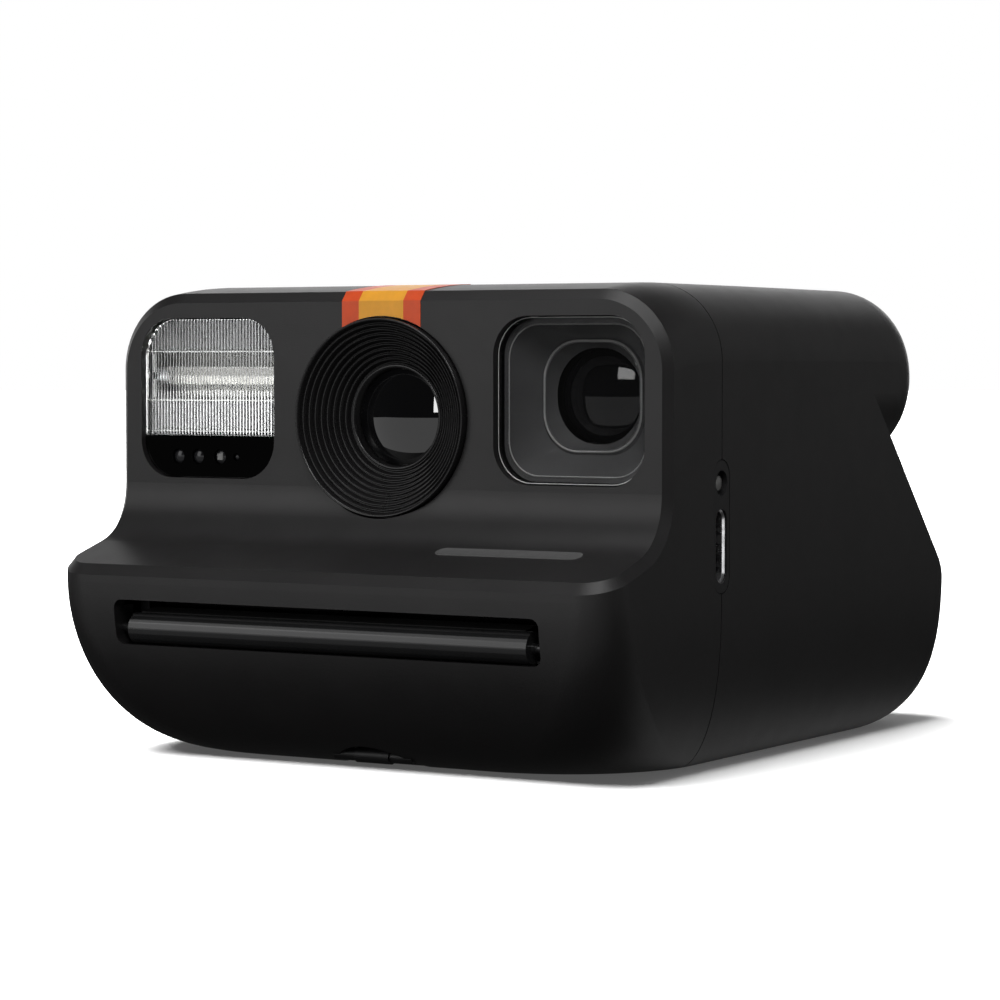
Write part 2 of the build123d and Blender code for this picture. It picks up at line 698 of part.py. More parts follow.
def roller_frame():
    """Two side plates with a cross bar that carry both rollers."""
    sides = mirrored(box(30.4, 31.8, -46.8, -37.6, 10.4, 25.2))
    frame = sides + box(-30.4, 30.4, -40.0, -38.6, 23.6, 25.2)
    frame += mirrored(box(30.4, 31.4, -37.6, -36.0, 10.4, 20.0))
    for z in (ROLLER_Z_HIGH, ROLLER_Z_LOW):
        frame -= rod_x(SHAFT_R + 0.05, -34, 34, ROLLER_Y, z)
    slope = prism_x([(-48, 24.2), (-48, 30), (-40.2, 30), (-43.4, 25.0)], -40, 40)
    return frame - slope


def inner_chassis():
    """Film bay: top deck with the picture opening, side walls, floor and front wall."""
    solid = box(-BAY_X, BAY_X, BAY_Y0, BAY_Y1, BAY_Z0, BAY_Z1)
    solid -= box(-BAY_X + 1.3, BAY_X - 1.3, BAY_Y0 + 1.3, BAY_Y1 + 1, BAY_Z0 + 1.2, BAY_Z1 - 1.5)
    solid -= box(-23.0, 23.0, -8.0, 33.0, BAY_Z1 - 2, BAY_Z1 + 1)
    solid -= box(-29.0, 29.0, BAY_Y0 - 1, BAY_Y0 + 2, 16.6, 19.4)
    solid -= box(BAY_X - 2, BAY_X + 1, 24.0, 37.0, 17.4, 19.6)
    for x, y in screw_spots():
        x0, x1 = sorted((x, BAY_X - 0.2 if x > 0 else 0.2 - BAY_X))
        boss = rod_z(2.2, 2.5, 12.0, x, y) + box(x0, x1, y - 1.2, y + 1.2, 5.2, 12.0)
        solid += boss - box(-BAY_X, BAY_X, y - 5, y + 5, 0, 14)
        solid -= rod_z(0.8, 2.0, 9.2, x, y)
    return solid


def film_pick():
    """Hook plate beside the bay that pulls the top film towards the rollers."""
    plate = box(BAY_X + 0.4, BAY_X + 1.3, 8.0, 36.0, 16.2, 20.6)
    hook = box(BAY_X - 1.6, BAY_X + 0.5, 34.4, 35.6, 17.9, 19.1)
    tab = box(BAY_X + 0.4, BAY_X + 3.4, 8.0, 9.0, 16.2, 20.6)
    return plate + hook + tab


def pick_spring():
    return Pos(BAY_X + 2.6, 7.8, 18.4) * Rot(90, 0, 0) * coil(0.75, 0.15, 1.1, 9.4)


def pick_guide():
    """Channel that keeps the hook plate beside the bay and anchors its spring."""
    anchor = box(BAY_X, BAY_X + 3.6, -2.8, -1.8, 16.0, 20.8)
    low = box(BAY_X, BAY_X + 2.0, -1.8, 30.0, 15.0, 15.9)
    high = box(BAY_X, BAY_X + 2.0, -1.8, 30.0, 20.9, 21.5)
    return anchor + low + high


# ---- roller drive --------------------------------------------------------------------------------------

def gear(teeth, bore, y, z, phase, x0=GEAR_X0, x1=GEAR_X1):
    """Spur gear on an X axle; phase is the angle of one tooth from +Y towards +Z."""
    pitch_r = MODULE * teeth / 2
    root, tip = pitch_r - 1.25 * MODULE, pitch_r + 0.9 * MODULE
    points = []
    for k in range(teeth):
        middle = radians(phase) + 2 * pi * k / teeth
        rising = ((root, -0.31), (pitch_r, -0.225), (tip, -0.12))
        falling = ((tip, 0.12), (pitch_r, 0.225), (root, 0.31))
        for r, share in rising + falling:
            angle = middle + 2 * pi / teeth * share
            points.append((r * cos(angle), r * sin(angle)))
    return Pos(0, y, z) * (prism_x(points, x0, x1) - rod_x(bore, x0 - 1, x1 + 1, 0, 0))


def idler_place():
    """Idler centre that touches both the upper roller gear and the motor pinion."""
    near, far = gear_reach(TEETH_ROLLER, TEETH_IDLER), gear_reach(TEETH_IDLER, TEETH_PINION)
    dy, dz = MOTOR_Y - ROLLER_Y, MOTOR_Z - ROLLER_Z_HIGH
    d = sqrt(dy * dy + dz * dz)
    along = (near * near - far * far + d * d) / (2 * d)
    aside = sqrt(near * near - along * along)
    return (ROLLER_Y + (along * dy + aside * dz) / d, ROLLER_Z_HIGH + (along * dz - aside * dy) / d)


def gear_reach(a, b):
    return MODULE * (a + b) / 2


def next_phase(teeth, phase, place, other_teeth, other_place):
    """Angle of a tooth on the other gear so that it sits in the gaps of this one."""
    line = degrees(atan2(other_place[1] - place[1], other_place[0] - place[0]))
    share = (phase - line) * teeth / 360
    return line + 180 - share * 360 / other_teeth + 180 / other_teeth


def idler_axle():
    y, z = idler_place()
    foot = box(BAY_X - 1.3, BAY_X, y - 2.0, y + 2.0, BAY_Z1, z + 1.8)
    return foot + rod_x(0.8, BAY_X - 1.0, GEAR_X1 + 0.6, y, z)


def motor_bracket():
    bracket = box(26.4, 27.6, MOTOR_Y - 6.0, MOTOR_Y + 6.0, BAY_Z1, 33.6)
    bracket += box(19.0, 27.6, MOTOR_Y - 6.0, MOTOR_Y + 6.0, BAY_Z1, BAY_Z1 + 0.7)
    return bracket - rod_x(2.6, 20, 30, MOTOR_Y, MOTOR_Z)


def drive_motor():
    flats = box(0, 30, MOTOR_Y - 6, MOTOR_Y + 6, MOTOR_Z - 5, MOTOR_Z + 5)
    can = rod_x(6.0, 2.0, 26.4, MOTOR_Y, MOTOR_Z) & flats
    return can + rod_x(2.5, 26.4, 27.2, MOTOR_Y, MOTOR_Z)


def motor_shaft():
    return rod_x(0.75, 27.4, GEAR_X1 + 0.2, MOTOR_Y, MOTOR_Z)


# ---- electronics -----------------------------------------------------------------------------------------

def main_board():
    board = box(-37.4, -13.6, -22.0, -20.8, 24.4, 54.6)
    chips = ((-30.0, 44.0, 7.0, 7.0), (-19.5, 46.0, 4.5, 6.0), (-24.0, 32.0, 9.0, 4.0),
             (-33.0, 31.0, 3.6, 5.0))
    for x, z, w, h in chips:
        board += box(x - w / 2, x + w / 2, -20.8, -19.9, z - h / 2, z + h / 2)
    return board


def battery():
    return fillet(box(-39.4, -33.6, -17.5, 20.0, 26.0, 50.0).edges().filter_by(Axis.Y), 1.4)


def flash_capacitor():
    can = rod_y(4.4, -17.5, 8.0, -27.0, 46.4)
    return can + rod_y(0.35, 8.0, 9.5, -28.4, 46.4) + rod_y(0.35, 8.0, 9.5, -25.6, 46.4)


# ---- trim --------------------------------------------------------------------------------------

def accent_stripe(outer, x0, x1):
    """Thin painted band from the lens ring up the face and over the front of the top."""
    raised = Pos(0, -0.06, 0.06) * outer
    band = (raised - outer) & box(x0, x1, -40, -25.5, 50, 63)
    return band - rod_y(RING_R + 0.25, -42, -30, 0, LENS_Z)


def badge_bar(outer):
    """Plain grey bar on the shelf."""
    raised = Pos(0, -0.03, 0.08) * outer
    zone = Pos(22.3, -43.2, 24.0) * extrude(SlotOverall(21.0, 2.0), 12)
    return (raised - outer) & zone


def main():
    os.makedirs("parts", exist_ok=True)
    outer = whole_body(0)
    outer = chamfer(bevel_edges(outer), EDGE)
    cavity = whole_body(WALL)
    inner = whole_body(WALL + 0.9)

    upper, lower = (ROLLER_Y, ROLLER_Z_HIGH), (ROLLER_Y, ROLLER_Z_LOW)
    idler_spot, pinion_spot = idler_place(), (MOTOR_Y, MOTOR_Z)
    phase_upper = 90.0
    phase_lower = next_phase(TEETH_ROLLER, phase_upper, upper, TEETH_ROLLER, lower)
    phase_idler = next_phase(TEETH_ROLLER, phase_upper, upper, TEETH_IDLER, idler_spot)
    phase_pinion = next_phase(TEETH_IDLER, phase_idler, idler_spot, TEETH_PINION, pinion_spot)

    nodes = {
        "front_shell": front_shell(outer, cavity, inner),
        "rear_shell": rear_shell(outer, cavity),
        "film_door": film_door(outer, cavity),
        "hinge_pins": hinge_pins(),
        "door_latch": door_latch(),
        "latch_spring": latch_spring(),
        "strap_bar": strap_bar(),
        "case_screws": case_screws(),
        "lens_ring": lens_ring(),
        "lens_barrel": lens_barrel(),
        "front_lens": dome_lens(GLASS_R, 0.9, 2.0, -33.2, 0, LENS_Z),
        "rear_lens": dome_lens(4.6, 0.9, 0.6, -26.4, 0, LENS_Z),
        "shutter_plate": shutter_plate(),
        "shutter_cover": shutter_cover(),
        "shutter_blade_left": shutter_blade(-1, -30.3),
        "shutter_blade_right": shutter_blade(1, -29.4),
        "shutter_solenoid": shutter_solenoid(),
        "dark_chamber": dark_chamber(),
        "fold_mirror": fold_mirror(),
        "flash_window": flash_window(),
        "flash_reflector": flash_reflector(),
        "flash_tube": flash_tube(),
        "sensor_window": sensor_window(),
        "sensor_lenses": sensor_lenses(),
        "viewfinder_window": viewfinder_window(),
        "viewfinder_funnel": viewfinder_funnel(),
        "viewfinder_lens": viewfinder_lens(),
        "viewfinder_tunnel": viewfinder_tunnel(),
        "eyepiece_ring": eyepiece_ring(),
        "eyepiece_lens": eyepiece_lens(),
        "shutter_button": push_button(SHUTTER_R, SHUTTER_X, 0.5, True),
        "flash_button": push_button(FLASH_R, FLASH_X, 0.25, False),
        "power_button": push_button(POWER_R, POWER_X, 0.25, False),
        "shutter_button_spring": button_spring(5.0, SHUTTER_X),
        "flash_button_spring": button_spring(2.4, FLASH_X),
        "power_button_spring": button_spring(2.8, POWER_X),
        "display_window": display_window(),
        "control_board": control_board(),
        "port_insert": port_insert(),
        "usb_socket": group(usb_socket(), usb_tongue()),
        "light_pipe": light_pipe(),
        "charge_board": charge_board(),
        "film_shield_roll": film_shield_roll(),
        "film_shield_core": film_shield_core(),
        "upper_roller": roller(ROLLER_Z_HIGH, GEAR_X1) + gear(TEETH_ROLLER, SHAFT_R, *upper, phase_upper),
        "lower_roller": roller(ROLLER_Z_LOW, GEAR_X1) + gear(TEETH_ROLLER, SHAFT_R, *lower, phase_lower),
        "roller_frame": roller_frame(),
        "idler_gear": gear(TEETH_IDLER, 0.85, *idler_spot, phase_idler),
        "motor_pinion": gear(TEETH_PINION, 0.75, *pinion_spot, phase_pinion) + motor_shaft(),
        "drive_motor": drive_motor(),
        "motor_bracket": motor_bracket(),
        "inner_chassis": inner_chassis() + idler_axle() + pick_guide(),
        "film_pick": film_pick(),
        "pick_spring": pick_spring(),
        "main_board": main_board(),
        "battery": battery(),
        "flash_capacitor": flash_capacitor(),
        "badge_bar": badge_bar(outer),
    }
    nodes["accent_middle"] = accent_stripe(outer, -3.4, 3.4)
    nodes["accent_sides"] = group(accent_stripe(outer, -6.0, -3.4), accent_stripe(outer, 3.4, 6.0))
    for name, solid in nodes.items():
        export_step(solid, "parts/" + name + ".step")


if __name__ == "__main__":
    main()
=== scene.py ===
"""Looks of an instant camera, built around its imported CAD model. Sizes are given in millimetres."""
import json
from math import asin, cos, pi, radians, sin, sqrt

import bmesh
import bpy
from mathutils import Matrix, Vector

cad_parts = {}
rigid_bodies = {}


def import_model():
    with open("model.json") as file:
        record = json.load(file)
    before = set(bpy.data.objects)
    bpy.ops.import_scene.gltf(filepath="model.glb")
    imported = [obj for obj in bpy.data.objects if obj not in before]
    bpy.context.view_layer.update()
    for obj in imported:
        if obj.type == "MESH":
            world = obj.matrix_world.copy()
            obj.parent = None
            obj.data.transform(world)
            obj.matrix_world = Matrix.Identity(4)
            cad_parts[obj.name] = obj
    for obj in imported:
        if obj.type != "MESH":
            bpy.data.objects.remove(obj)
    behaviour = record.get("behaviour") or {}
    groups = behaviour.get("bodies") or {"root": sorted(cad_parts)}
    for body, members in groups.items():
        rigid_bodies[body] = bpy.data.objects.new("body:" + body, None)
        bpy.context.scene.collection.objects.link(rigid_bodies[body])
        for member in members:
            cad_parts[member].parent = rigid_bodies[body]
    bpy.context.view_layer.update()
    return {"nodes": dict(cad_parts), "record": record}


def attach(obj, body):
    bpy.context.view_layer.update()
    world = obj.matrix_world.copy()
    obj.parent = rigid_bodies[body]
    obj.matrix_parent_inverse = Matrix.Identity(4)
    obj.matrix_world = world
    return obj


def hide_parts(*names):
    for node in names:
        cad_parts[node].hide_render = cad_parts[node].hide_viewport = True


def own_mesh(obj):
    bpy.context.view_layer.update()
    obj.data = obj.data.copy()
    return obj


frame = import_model()
nodes = frame["nodes"]

MM = 0.001
BODY = "camera_body"

# Places taken from the CAD model
FACE_Y = -37.7
LENS_Z = 44.56
RING_R = 12.8
GLASS_R = 6.2
WIN_X0, WIN_X1 = 16.8, 38.5
WIN_Z0, WIN_Z1 = 36.25, 57.5
WIN_R = 5.0
FIT = 0.15
SENSOR_TOP = 41.7
SENSOR_Z = 39.1
SENSOR_SPOTS = ((-32.9, 1.0), (-29.7, 1.0), (-26.1, 1.0), (-23.4, 0.5))
TUBE_Y, TUBE_Z = -32.4, 49.85
FINDER_X, FINDER_Z = 27.65, 47.4
SHIELD_Y, SHIELD_Z, SHIELD_R = -50.0, 17.1, 2.1
SEAM_Y = -23.8
USB_Z, USB_H, USB_W = 28.55, 9.4, 3.0
LIGHT_Z = 36.5
SIDE_X = 42.0

# Places of the visual pieces behind the windows
PANE_FRONT, PANE_BACK = FACE_Y + 0.9, FACE_Y + 2.05
TROUGH_X0, TROUGH_X1 = -38.2, -17.1
TROUGH_MOUTH_Y, TROUGH_DEPTH, TROUGH_HALF = -34.6, 4.4, 3.0
FUNNEL_Z = 46.9

# Camera that matches the photograph's view
CAMERA_AT = (230.78, -391.30, 52.16)
CAMERA_YAW, CAMERA_DOWN = 31.06, 2.47
CAMERA_LENS, CAMERA_SENSOR = 118.18, 36.0

# Studio
FLOOR_REACH = 5000
DRUM_R, DRUM_TOP = 4900, 6000
SUN_POWER, SUN_SPREAD = 12, 60
SUN_TOWARD = (0.36, 0.26, -1.0)
WORLD_GLOW = 0.03


# ---- materials ---------------------------------------------------------------------------------

class Shader:
    """Node material built around one Principled shader, with textures in the row frame."""

    def __init__(self, name, color, rough, metal=0.0, **sockets):
        self.mat = bpy.data.materials.new(name)
        self.mat.use_nodes = True
        self.tree = self.mat.node_tree
        self.bsdf = self.tree.nodes["Principled BSDF"]
        self.set("Base Color", (*color, 1.0))
        self.set("Roughness", rough)
        self.set("Metallic", metal)
        for socket, value in sockets.items():
            self.set(socket.replace("_", " "), value)
        self.color, self.rough = color, rough
        self.place = self.node("ShaderNodeTexCoord").outputs["Object"]

    def set(self, socket, value):
        self.bsdf.inputs[socket].default_value = value

    def node(self, kind, **values):
        made = self.tree.nodes.new(kind)
        for key, value in values.items():
            setattr(made, key, value)
        return made

    def link(self, a, b):
        self.tree.links.new(a, b)

    def noise(self, scale, detail=3.0, stretch=(1, 1, 1)):
        """Noise with its scale in bumps per metre, stretched along an axis if asked."""
        mapping = self.node("ShaderNodeMapping")
        mapping.inputs["Scale"].default_value = stretch
        self.link(self.place, mapping.inputs["Vector"])
        texture = self.node("ShaderNodeTexNoise")
        texture.inputs["Scale"].default_value = scale
        texture.inputs["Detail"].default_value = detail
        self.link(mapping.outputs["Vector"], texture.inputs["Vector"])
        return texture.outputs["Fac"]

    def remap(self, value, low, high, start=0.3, end=0.7):
        spread = self.node("ShaderNodeMapRange")
        spread.inputs["From Min"].default_value = start
        spread.inputs["From Max"].default_value = end
        spread.inputs["To Min"].default_value = low
        spread.inputs["To Max"].default_value = high
        self.link(value, spread.inputs["Value"])
        return spread.outputs["Result"]

    def vary_rough(self, value, spread):
        mapped = self.remap(value, self.rough - spread, self.rough + spread)
        self.link(mapped, self.bsdf.inputs["Roughness"])

    def vary_color(self, value, share):
        """Colour that drifts a little lighter and darker."""
        mix = self.node("ShaderNodeMix", data_type="RGBA")
        mix.inputs["A"].default_value = (*[c * (1 - share) for c in self.color], 1)
        mix.inputs["B"].default_value = (*[min(c * (1 + share), 1.0) for c in self.color], 1)
        self.link(self.remap(value, 0.0, 1.0), mix.inputs["Factor"])
        self.link(mix.outputs["Result"], self.bsdf.inputs["Base Color"])

    def bump(self, value, depth, strength=1.0):
        node = self.node("ShaderNodeBump")
        node.inputs["Distance"].default_value = depth * MM
        node.inputs["Strength"].default_value = strength
        self.link(value, node.inputs["Height"])
        self.link(node.outputs["Normal"], self.bsdf.inputs["Normal"])


def moulded(name, color, rough, grain=5200, depth=0.012, spread=0.04, **sockets):
    """Moulded plastic with a fine spark-eroded grain and a faint drift in sheen."""
    m = Shader(name, color, rough, **sockets)
    m.vary_rough(m.noise(260, 4), spread)
    m.vary_color(m.noise(90, 2), 0.12)
    m.bump(m.noise(grain, 2), depth)
    return m.mat


def brushed(name, color, rough, stretch, depth=0.004):
    """Metal with fine lines along one direction."""
    m = Shader(name, color, rough, metal=1.0)
    lines = m.noise(1400, 2, stretch)
    m.vary_rough(lines, 0.08)
    m.vary_color(m.noise(200, 3), 0.06)
    m.bump(lines, depth)
    return m.mat


def clear(name, color, rough, ior):
    """Clear plastic or glass with a barely uneven polish."""
    m = Shader(name, color, rough, IOR=ior)
    m.set("Transmission Weight", 1.0)
    m.bump(m.noise(60, 1), 0.01, 0.3)
    return m.mat


def thin_pane(name):
    """Flat clear cover that lets light straight through under a faint gloss."""
    m = Shader(name, (0.02, 0.02, 0.02), 0.03, IOR=2.0, Alpha=0.3)
    m.bump(m.noise(60, 1), 0.01, 0.3)
    return m.mat


def printed(name, color):
    """Satin ink on plastic."""
    m = Shader(name, color, 0.42)
    m.vary_color(m.noise(700, 3), 0.05)
    m.vary_rough(m.noise(500, 2), 0.05)
    m.bump(m.noise(5200, 2), 0.008)
    return m.mat


def board_material():
    """Green circuit board with paler tracks under the mask."""
    m = Shader("board_green", (0.012, 0.09, 0.04), 0.35)
    voronoi = m.node("ShaderNodeTexVoronoi", feature="DISTANCE_TO_EDGE", distance="MANHATTAN")
    voronoi.inputs["Scale"].default_value = 380
    m.link(m.place, voronoi.inputs["Vector"])
    tracks = m.remap(voronoi.outputs["Distance"], 1.0, 0.0, 0.03, 0.06)
    mix = m.node("ShaderNodeMix", data_type="RGBA")
    mix.inputs["A"].default_value = (0.012, 0.09, 0.04, 1)
    mix.inputs["B"].default_value = (0.05, 0.2, 0.08, 1)
    m.link(tracks, mix.inputs["Factor"])
    m.link(mix.outputs["Result"], m.bsdf.inputs["Base Color"])
    m.bump(tracks, 0.02)
    return m.mat


def make_materials():
    """Every finish, by its name in the record, with a few finer ones for visual pieces."""
    coat = {"Coat_Weight": 0.5, "Coat_Roughness": 0.01}
    return {
        "case_black": moulded("case_black", (0.0135, 0.0128, 0.0132), 0.42, spread=0.015),
        "door_latch_grey": moulded("door_latch_grey", (0.03, 0.03, 0.031), 0.38),
        "ring_black": moulded("ring_black", (0.011, 0.0105, 0.011), 0.27, depth=0.003, spread=0.02),
        "trim_black": moulded("trim_black", (0.012, 0.012, 0.0125), 0.45),
        "funnel_grey": moulded("funnel_grey", (0.18, 0.18, 0.184), 0.16, depth=0.003, spread=0.03),
        # near-white beads round the viewfinder funnel: a painted highlight standing in for light caught on
        # the clear moulded edges
        "pale_edge_highlight": moulded("pale_edge_highlight", (0.75, 0.75, 0.74), 0.25, depth=0.003),
        "flash_apron": moulded("flash_apron", (0.12, 0.12, 0.12), 0.2, depth=0.003, spread=0.05),
        "steel": brushed("steel", (0.62, 0.62, 0.63), 0.28, (0.1, 1, 1)),
        "blade_steel": brushed("blade_steel", (0.06, 0.06, 0.065), 0.4, (1, 1, 0.1)),
        # near-black opaque finish for both lens domes: painted shade of the camera's dark inside, which the
        # real clear glass shows; the glossy coat is real
        "lens_glass": moulded("lens_glass", (0.003, 0.003, 0.0035), 0.02, depth=0.0, spread=0.005, **coat),
        "clear_window": clear("clear_window", (0.97, 0.98, 0.98), 0.0, 1.47),
        "thin_pane": thin_pane("thin_pane"),
        "flash_metal": brushed("flash_metal", (0.4, 0.4, 0.39), 0.2, (0.05, 1, 1), 0.002),
        "tube_glass": clear("tube_glass", (0.98, 0.97, 0.95), 0.0, 1.45),
        "sensor_gloss": moulded("sensor_gloss", (0.006, 0.006, 0.0065), 0.08, depth=0.001, spread=0.02),
        "sensor_lens": moulded("sensor_lens", (0.02, 0.02, 0.022), 0.1, depth=0.001, spread=0.02),
        "mirror": brushed("mirror", (0.9, 0.91, 0.92), 0.05, (1, 1, 1), 0.0),
        "chamber_black": moulded("chamber_black", (0.006, 0.006, 0.006), 0.75),
        "solenoid": brushed("solenoid", (0.45, 0.45, 0.45), 0.35, (0.1, 1, 1)),
        "button_black": moulded("button_black", (0.016, 0.0155, 0.016), 0.32, depth=0.006),
        "button_accent": moulded("button_accent", (0.55, 0.085, 0.02), 0.3, depth=0.006),
        "display": moulded("display", (0.004, 0.004, 0.0045), 0.06, depth=0.001, spread=0.02),
        "board_green": board_material(),
        "light_pipe": moulded("light_pipe", (0.2, 0.2, 0.195), 0.25, depth=0.003),
        "shield": moulded("shield", (0.016, 0.016, 0.0165), 0.16, depth=0.001, spread=0.02),
        # dark steel for the rollers deep in the film slot: the darkness is painted shade of the slot, laid
        # over the steel's own brushed sheen
        "roller_steel": brushed("roller_steel", (0.2, 0.2, 0.2), 0.25, (0.05, 1, 1)),
        "frame_steel": brushed("frame_steel", (0.12, 0.12, 0.125), 0.35, (1, 1, 0.1)),
        "gear_white": moulded("gear_white", (0.7, 0.68, 0.62), 0.35),
        "pinion_brass": brushed("pinion_brass", (0.72, 0.52, 0.2), 0.3, (0.1, 1, 1)),
        "motor_can": brushed("motor_can", (0.55, 0.55, 0.56), 0.3, (0.1, 1, 1)),
        "chassis_grey": moulded("chassis_grey", (0.02, 0.02, 0.021), 0.5),
        "battery_blue": moulded("battery_blue", (0.03, 0.06, 0.2), 0.3, depth=0.004),
        "capacitor_dark": moulded("capacitor_dark", (0.012, 0.012, 0.04), 0.2, depth=0.002),
        "accent_amber": printed("accent_amber", (0.95, 0.42, 0.03)),
        "accent_red": printed("accent_red", (0.78, 0.085, 0.014)),
        "badge_grey": printed("badge_grey", (0.1, 0.1, 0.1)),
    }


def dress_nodes(materials):
    """Gives every CAD node its own procedural finish, by the slot that the record names."""
    for entry in frame["record"]["subparts"]:
        piece = nodes[entry["node"]]
        piece.data.materials.clear()
        piece.data.materials.append(materials[entry["material_slot"]])


# ---- mesh helpers ------------------------------------------------------------------------------

def add_piece(name, mesh, slot, body=BODY, replaces=(), smooth=30):
    """Puts a finished mesh, in millimetres, into the scene as a piece on a CAD body."""
    mesh.transform(Matrix.Scale(MM, 4))
    mesh.materials.append(materials[slot])
    piece = bpy.data.objects.new(name, mesh)
    bpy.context.scene.collection.objects.link(piece)
    mesh.shade_smooth()
    mesh.set_sharp_from_angle(angle=radians(smooth))
    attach(piece, body)
    if replaces:
        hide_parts(*replaces)
    return piece


def mesh_from(name, points, faces):
    """Mesh with doubled points merged and its faces turned outward."""
    mesh = bpy.data.meshes.new(name)
    mesh.from_pydata([tuple(p) for p in points], [], faces)
    tidy = bmesh.new()
    tidy.from_mesh(mesh)
    bmesh.ops.remove_doubles(tidy, verts=tidy.verts, dist=1e-5)
    bmesh.ops.recalc_face_normals(tidy, faces=tidy.faces)
    tidy.to_mesh(mesh)
    tidy.free()
    return mesh


def turned(name, profile, at, axis="Y", segments=128, closed=True):
    """Turns a profile of (radius, along) points about the Y or X axis through a point."""
    points, faces = [], []
    for k in range(segments):
        a = 2 * pi * k / segments
        for r, along in profile:
            if axis == "Y":
                points.append((at[0] + r * cos(a), along, at[1] + r * sin(a)))
            else:
                points.append((along, at[0] + r * cos(a), at[1] + r * sin(a)))
    count = len(profile)
    last = count if closed else count - 1
    for k in range(segments):
        n = (k + 1) % segments
        for i in range(last):
            j = (i + 1) % count
            faces.append((k * count + i, k * count + j, n * count + j, n * count + i))
    return mesh_from(name, points, faces)


def arc(centre, radius, start, end, steps):
    """Points of an arc in a profile plane; angles are in degrees."""
    made = []
    for k in range(steps + 1):
        a = radians(start + (end - start) * k / steps)
        made.append((centre[0] + radius * cos(a), centre[1] + radius * sin(a)))
    return made


def dome_profile(radius, front, edge_y, back_y, steps=24):
    """Half outline of a lens: a dome from its tip at front to edge_y, then a flat back."""
    bulge = edge_y - front
    sphere = (radius * radius + bulge * bulge) / (2 * bulge)
    reach = asin(radius / sphere)
    profile = []
    for k in range(steps + 1):
        a = reach * k / steps
        profile.append((sphere * sin(a), front + sphere * (1 - cos(a))))
    return profile + [(radius, back_y - 0.15), (radius - 0.15, back_y), (0.0, back_y)]


def rounded_outline(x0, x1, z0, z1, r, steps=10):
    """Points round a rectangle with rounded corners."""
    outline = []
    corners = ((x1 - r, z1 - r, 0), (x0 + r, z1 - r, 90), (x0 + r, z0 + r, 180), (x1 - r, z0 + r, 270))
    for cx, cz, start in corners:
        outline += arc((cx, cz), r, start, start + 90, steps)
    return outline


def lofted(name, rings, cap_start=True, cap_end=True):
    """Skin through rings that all have the same number of points."""
    points, faces = [], []
    for ring in rings:
        points += ring
    count = len(rings[0])
    for k in range(len(rings) - 1):
        for i in range(count):
            j = (i + 1) % count
            faces.append((k * count + i, k * count + j, (k + 1) * count + j, (k + 1) * count + i))
    if cap_start:
        faces.append(tuple(range(count - 1, -1, -1)))
    if cap_end:
        faces.append(tuple(range((len(rings) - 1) * count, len(rings) * count)))
    return mesh_from(name, points, faces)


materials = make_materials()
dress_nodes(materials)


# ---- lens --------------------------------------------------------------------------------------

def ribbed_ring():
    """Lens surround: a rounded rim, then nine fine ribs running down to the glass."""
    ribs, steps = 9, 12
    profile = [(RING_R + 1.2, -33.6), (RING_R + 1.2, -35.4), (RING_R, -35.4)]
    profile += arc((RING_R - 0.15, FACE_Y - 0.85), 0.15, 0, -90, 5)
    for k in range(ribs * steps + 1):
        t = k / steps
        r = 12.5 - 5.6 * t / ribs
        y = -38.62 + 4.5 * t / ribs + 0.28 * (1 - cos(2 * pi * t))
        profile.append((r, y))
    profile += [(6.85, -33.6)]
    return add_piece("lens_surround", turned("lens_surround", profile, (0, LENS_Z)), "ring_black",
                     replaces=["lens_ring"], smooth=50)


def lens_bezel():
    """Black ring that holds the front glass, with a bright edge on its inner lip."""
    profile = [(8.6, -31.4), (8.6, -33.5), (6.95, -33.5)]
    profile += arc((6.65, -34.1), 0.22, 0, -180, 8)
    profile += [(6.3, -33.0), (6.3, -31.9), (5.0, -31.9), (5.0, -31.4)]
    return add_piece("lens_bezel", turned("lens_bezel", profile, (0, LENS_Z)), "ring_black",
                     replaces=["lens_barrel"])


def glass_dome(name, radius, front, edge_y, back_y, at, node):
    """Lens with a domed front in opaque near-black gloss; the near-black colour is painted shade, standing
    in for the dark inside seen through clear glass, while its gloss is real.
    """
    mesh = turned(name, dome_profile(radius, front, edge_y, back_y), at, closed=False)
    return add_piece(name, mesh, "lens_glass", replaces=[node], smooth=40)


def lens_inner():
    """Stepped black baffle seen through the front glass."""
    profile = [(6.2, -31.9)]
    for k in range(4):
        r = 5.6 - 0.75 * k
        profile += [(r, -31.95 + 0.12 * k), (r, -31.83 + 0.12 * k)]
    profile += [(3.0, -31.45), (6.2, -31.45)]
    return add_piece("lens_baffle", turned("lens_baffle", profile, (0, LENS_Z)), "chamber_black")


# ---- flash -------------------------------------------------------------------------------------

def corner_top(x, x0, x1, top, r):
    """Height of a pane's upper edge at x, for rounded upper corners."""
    reach = max(x0 + r - x, x - x1 + r, 0.0)
    return top - r + sqrt(max(r * r - reach * reach, 0.0))


def flash_pane():
    """Clear cover with upright light-spreading ribs on its back."""
    x0, x1 = -WIN_X1 + FIT, -WIN_X0 - FIT
    top, bottom, r = WIN_Z1 - FIT, SENSOR_TOP + 0.2, WIN_R - FIT
    front, back, depth = PANE_FRONT, PANE_BACK, 0.16
    ribs, steps = 43, 6
    count = ribs * steps + 1
    points, faces = [], []
    for i in range(count):
        x = x0 + (x1 - x0) * i / (count - 1)
        z = corner_top(x, x0, x1, top, r)
        bulge = depth * abs(sin(pi * i / steps))
        edge = 0.12
        points += [(x, front + edge, bottom), (x, front, bottom + edge), (x, front, z - edge),
                   (x, front + edge, z), (x, back - bulge, z), (x, back - bulge, bottom)]
    rows = 6
    for i in range(count - 1):
        for j in range(rows):
            n = (j + 1) % rows
            faces.append((i * rows + j, i * rows + n, (i + 1) * rows + n, (i + 1) * rows + j))
    faces.append(tuple(range(rows)))
    faces.append(tuple(range((count - 1) * rows, count * rows)))
    mesh = mesh_from("flash_pane", points, faces)
    pane = add_piece("flash_pane", mesh, "clear_window", replaces=["flash_window"], smooth=35)
    pane.visible_shadow = False
    return pane


